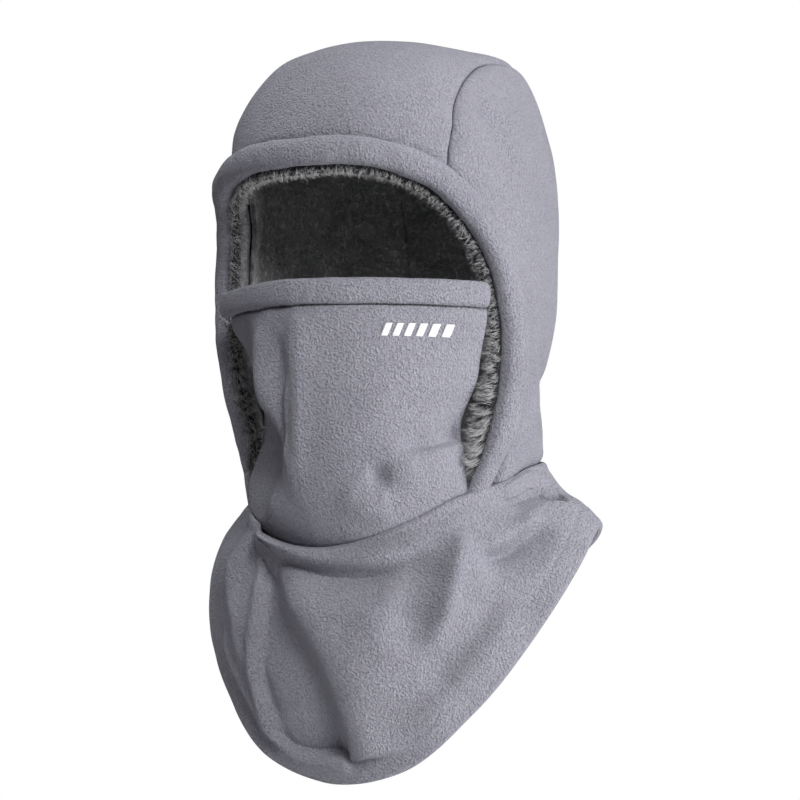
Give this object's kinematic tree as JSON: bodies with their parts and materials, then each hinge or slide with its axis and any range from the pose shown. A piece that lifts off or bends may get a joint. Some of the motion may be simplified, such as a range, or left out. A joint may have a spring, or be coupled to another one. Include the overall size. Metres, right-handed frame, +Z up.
{
  "type": "balaclava",
  "caption": "Fleece balaclava: lined hood with a padded, fur-edged face opening, a mask that pulls down under the chin and a bib-shaped cape over the neck and chest.",
  "frame": {"origin": "the point inside the crown that rests on the top of the wearer's head", "axes": "+X to the wearer's left, -Y to the front of the face, +Z up"},
  "size_m": [0.2364, 0.2114, 0.4096],
  "materials": {
    "outer_fleece": "brushed fleece with a short pebbled nap",
    "plush_lining": "dark plush",
    "fur_trim": "long pile, dark at the root and silver at the tip",
    "sewing_thread": "spun polyester",
    "elastic_webbing": "knitted elastic",
    "badge_film": "matt transfer film",
    "label_tape": "woven tape"
  },
  "bodies": {
    "hood": {"crown_panel": "outer_fleece", "left_side_panel": "outer_fleece", "right_side_panel": "outer_fleece", "crown_lining": "plush_lining", "left_side_lining": "plush_lining", "right_side_lining": "plush_lining", "face_binding": "outer_fleece", "fur_trim": "fur_trim", "binding_thread": "sewing_thread", "front_cape": "outer_fleece", "back_cape": "outer_fleece", "front_cape_lining": "plush_lining", "back_cape_lining": "plush_lining", "front_hem": "outer_fleece", "back_hem": "outer_fleece", "front_hem_thread": "sewing_thread", "back_hem_thread": "sewing_thread", "neck_thread": "sewing_thread", "left_crown_thread": "sewing_thread", "right_crown_thread": "sewing_thread", "left_shoulder_thread": "sewing_thread", "right_shoulder_thread": "sewing_thread", "left_bartack": "sewing_thread", "right_bartack": "sewing_thread", "care_label": "label_tape", "mask_panel": "outer_fleece", "mask_lining": "plush_lining"},
    "mask": {"mask_hem": "outer_fleece", "mask_elastic": "elastic_webbing", "mask_hem_thread": "sewing_thread", "mask_badge": "badge_film"}
  },
  "joints": [
    {"name": "mask_pull_down", "type": "hinge", "parent": "hood", "child": "mask", "pos_m": [0, -0.037, -0.147], "axis": [1, 0, 0], "range_deg": [0, 70], "deforming": ["mask_panel", "mask_lining"]}
  ]
}
